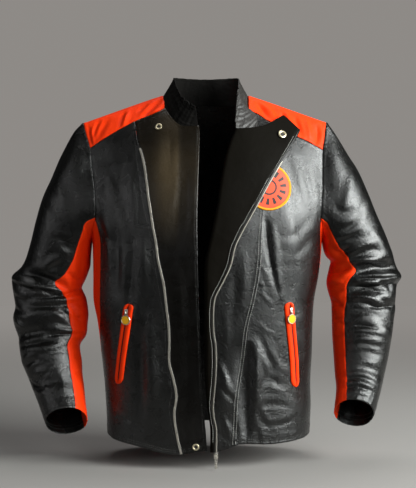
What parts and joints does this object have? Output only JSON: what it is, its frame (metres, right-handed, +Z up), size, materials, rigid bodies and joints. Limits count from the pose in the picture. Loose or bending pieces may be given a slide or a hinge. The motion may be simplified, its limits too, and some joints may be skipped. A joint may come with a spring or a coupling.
{
  "type": "leather motorcycle jacket",
  "caption": "Hollow worn leather motorcycle jacket with an open asymmetric front, stand collar, contrast panels and zipped pockets.",
  "frame": {"origin": "middle of the neck opening, level with the shoulder ridge beside the neck, where a wearer's neck or a hanger holds the jacket up", "axes": "+Z up, -Y towards the front of the jacket, +X towards the wearer's left arm"},
  "size_m": [0.75, 0.2626, 0.7303],
  "materials": {
    "black_leather": "semi-gloss creased leather",
    "orange_leather": "semi-gloss smooth leather",
    "zip_chain": "bright metal teeth",
    "zip_tape": "matt woven tape",
    "slider_metal": "polished metal",
    "brass": "polished",
    "yellow_enamel": "plain enamel"
  },
  "bodies": {
    "jacket": {"back": "black_leather", "front_left_centre": "black_leather", "front_left_side": "black_leather", "front_right_flap": "black_leather", "front_right_side": "black_leather", "sleeve_left": "black_leather", "sleeve_right": "black_leather", "collar": "black_leather", "lapel_left": "black_leather", "side_panel_left": "orange_leather", "side_panel_right": "orange_leather", "under_sleeve_left": "orange_leather", "under_sleeve_right": "orange_leather", "yoke_left": "orange_leather", "yoke_right": "orange_leather", "pocket_left_welt_inner": "orange_leather", "pocket_left_welt_outer": "orange_leather", "pocket_right_welt_inner": "orange_leather", "pocket_right_welt_outer": "orange_leather", "chest_patch": "orange_leather", "front_zip_left": "zip_chain", "front_zip_right": "zip_chain", "pocket_left_zip": "zip_tape", "pocket_right_zip": "zip_tape", "front_zip_slider": "slider_metal", "pocket_left_slider": "slider_metal", "pocket_right_slider": "slider_metal", "snap_collar": "brass", "snap_hem": "brass", "snap_lapel": "brass"},
    "front_pull": {"front_zip_pull": "slider_metal"},
    "left_pocket_pull": {"pocket_left_pull": "yellow_enamel"},
    "right_pocket_pull": {"pocket_right_pull": "yellow_enamel"}
  },
  "joints": [
    {"name": "front_pull_hinge", "type": "hinge", "parent": "jacket", "child": "front_pull", "pos_m": [0.01958, -0.13467, -0.67519], "axis": [-0.9999, -0.0121, 0], "range_deg": [0, 120]},
    {"name": "left_pocket_pull_hinge", "type": "hinge", "parent": "jacket", "child": "left_pocket_pull", "pos_m": [0.16145, -0.11019, -0.40669], "axis": [-0.8485, -0.5292, 0.0012], "range_deg": [0, 120]},
    {"name": "right_pocket_pull_hinge", "type": "hinge", "parent": "jacket", "child": "right_pocket_pull", "pos_m": [-0.14842, -0.11909, -0.40816], "axis": [-0.9054, 0.4245, -0.002], "range_deg": [0, 120]}
  ]
}
